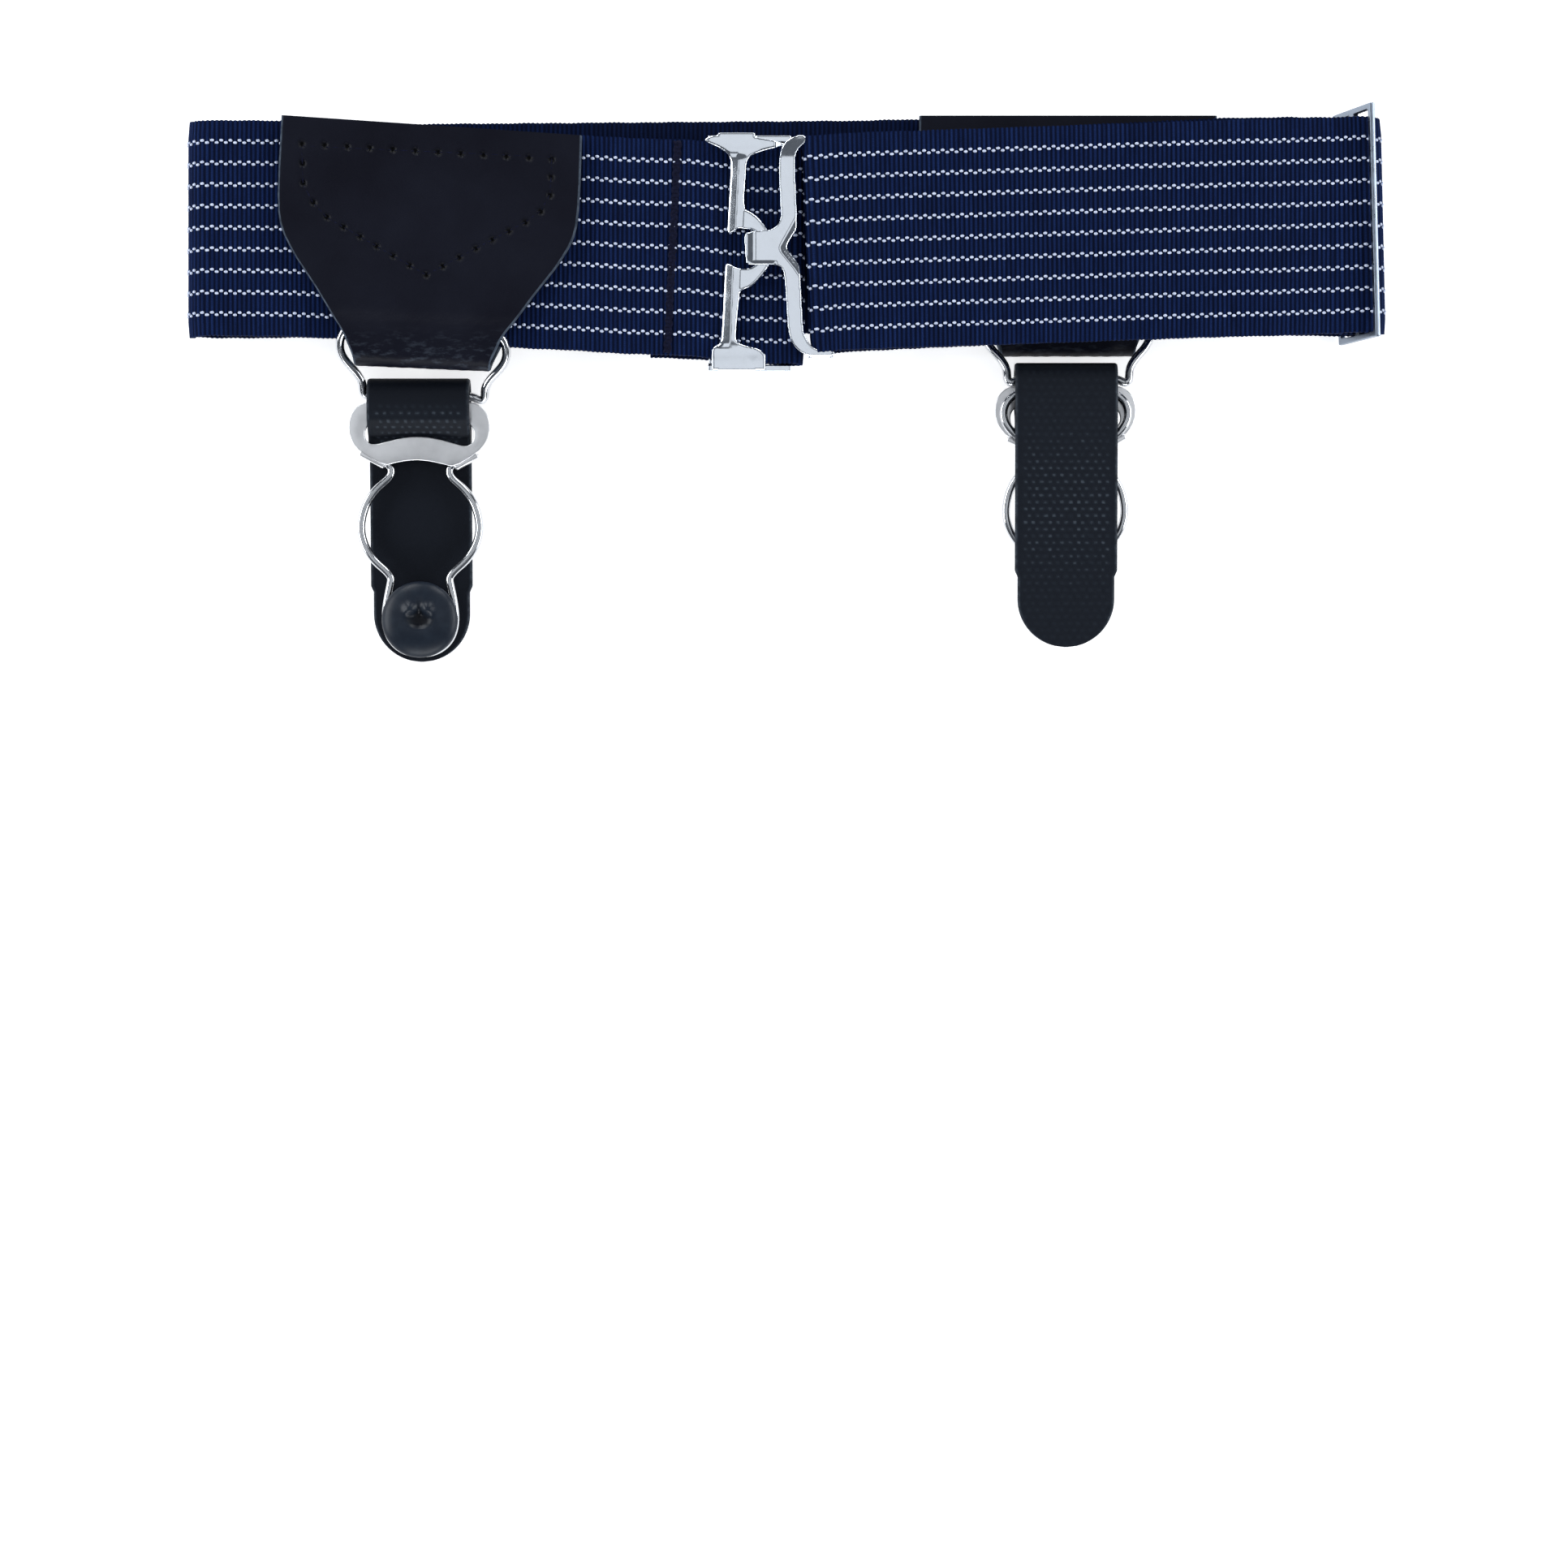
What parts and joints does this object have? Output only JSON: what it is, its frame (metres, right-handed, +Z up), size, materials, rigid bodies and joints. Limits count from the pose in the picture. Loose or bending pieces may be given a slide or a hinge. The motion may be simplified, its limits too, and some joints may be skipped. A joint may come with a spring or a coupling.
{
  "type": "sock suspender",
  "caption": "Striped elastic leg loop lying flat, with a hook-and-eye clasp, a slider and leather tabs that carry wire garter clips with rubber buttons.",
  "frame": {"origin": "middle of the part's outline, on the plane it rests on", "axes": "+X along the elastic from its plain fold to the fold with the slider, +Y from the clips to the elastic, +Z up away from the table"},
  "size_m": [0.1956, 0.0904, 0.012],
  "materials": {
    "elastic": "ribbed woven elastic with white dotted stripes",
    "leather": "smooth with fine creases at the fold",
    "webbing": "fine rows of small dashes",
    "clasp_metal": "bright plated",
    "plate_metal": "satin plated sheet",
    "wire_metal": "bright plated wire",
    "button_rubber": "satin moulded"
  },
  "bodies": {
    "root": {"elastic_band": "elastic", "clasp_eye": "clasp_metal", "clasp_hook": "clasp_metal", "slider": "clasp_metal", "front_tab": "leather", "front_ring": "wire_metal", "front_strap": "webbing", "front_plate": "plate_metal", "front_wire": "wire_metal", "front_button": "button_rubber", "rear_tab": "leather", "rear_ring": "wire_metal", "rear_strap": "webbing", "rear_plate": "plate_metal", "rear_wire": "wire_metal", "rear_button": "button_rubber"}
  },
  "joints": []
}
